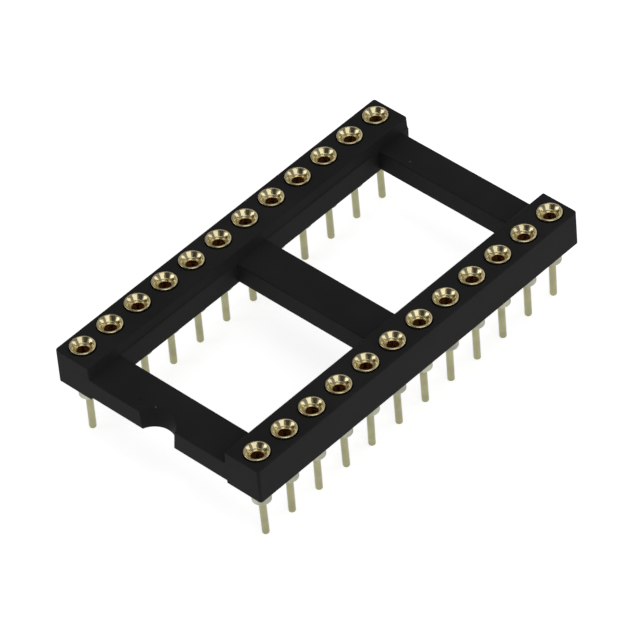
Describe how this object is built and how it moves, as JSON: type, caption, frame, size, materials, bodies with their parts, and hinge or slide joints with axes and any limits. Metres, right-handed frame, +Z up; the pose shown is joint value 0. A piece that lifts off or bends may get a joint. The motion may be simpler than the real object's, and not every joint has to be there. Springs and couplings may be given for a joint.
{
  "type": "dip socket",
  "caption": "Open-frame through-hole socket for a wide dual in-line package, with turned contacts and an index notch.",
  "frame": {"origin": "in the circuit board's top surface, where the sleeves' shoulders seat, midway between the two rows and halfway along them", "axes": "+Z up out of the board, +X along the rows away from the notched end, +Y towards the row of contacts 13 to 24"},
  "size_m": [0.0304, 0.0178, 0.0074],
  "materials": {
    "housing_plastic": "satin black moulded",
    "sleeve_plating": "pale gold flash over nickel, turned",
    "clip_gold": "bright gold plate"
  },
  "bodies": {
    "root": {"housing": "housing_plastic", "sleeve_01": "sleeve_plating", "sleeve_02": "sleeve_plating", "sleeve_03": "sleeve_plating", "sleeve_04": "sleeve_plating", "sleeve_05": "sleeve_plating", "sleeve_06": "sleeve_plating", "sleeve_07": "sleeve_plating", "sleeve_08": "sleeve_plating", "sleeve_09": "sleeve_plating", "sleeve_10": "sleeve_plating", "sleeve_11": "sleeve_plating", "sleeve_12": "sleeve_plating", "sleeve_13": "sleeve_plating", "sleeve_14": "sleeve_plating", "sleeve_15": "sleeve_plating", "sleeve_16": "sleeve_plating", "sleeve_17": "sleeve_plating", "sleeve_18": "sleeve_plating", "sleeve_19": "sleeve_plating", "sleeve_20": "sleeve_plating", "sleeve_21": "sleeve_plating", "sleeve_22": "sleeve_plating", "sleeve_23": "sleeve_plating", "sleeve_24": "sleeve_plating", "clip_01": "clip_gold", "clip_02": "clip_gold", "clip_03": "clip_gold", "clip_04": "clip_gold", "clip_05": "clip_gold", "clip_06": "clip_gold", "clip_07": "clip_gold", "clip_08": "clip_gold", "clip_09": "clip_gold", "clip_10": "clip_gold", "clip_11": "clip_gold", "clip_12": "clip_gold", "clip_13": "clip_gold", "clip_14": "clip_gold", "clip_15": "clip_gold", "clip_16": "clip_gold", "clip_17": "clip_gold", "clip_18": "clip_gold", "clip_19": "clip_gold", "clip_20": "clip_gold", "clip_21": "clip_gold", "clip_22": "clip_gold", "clip_23": "clip_gold", "clip_24": "clip_gold"}
  },
  "joints": []
}
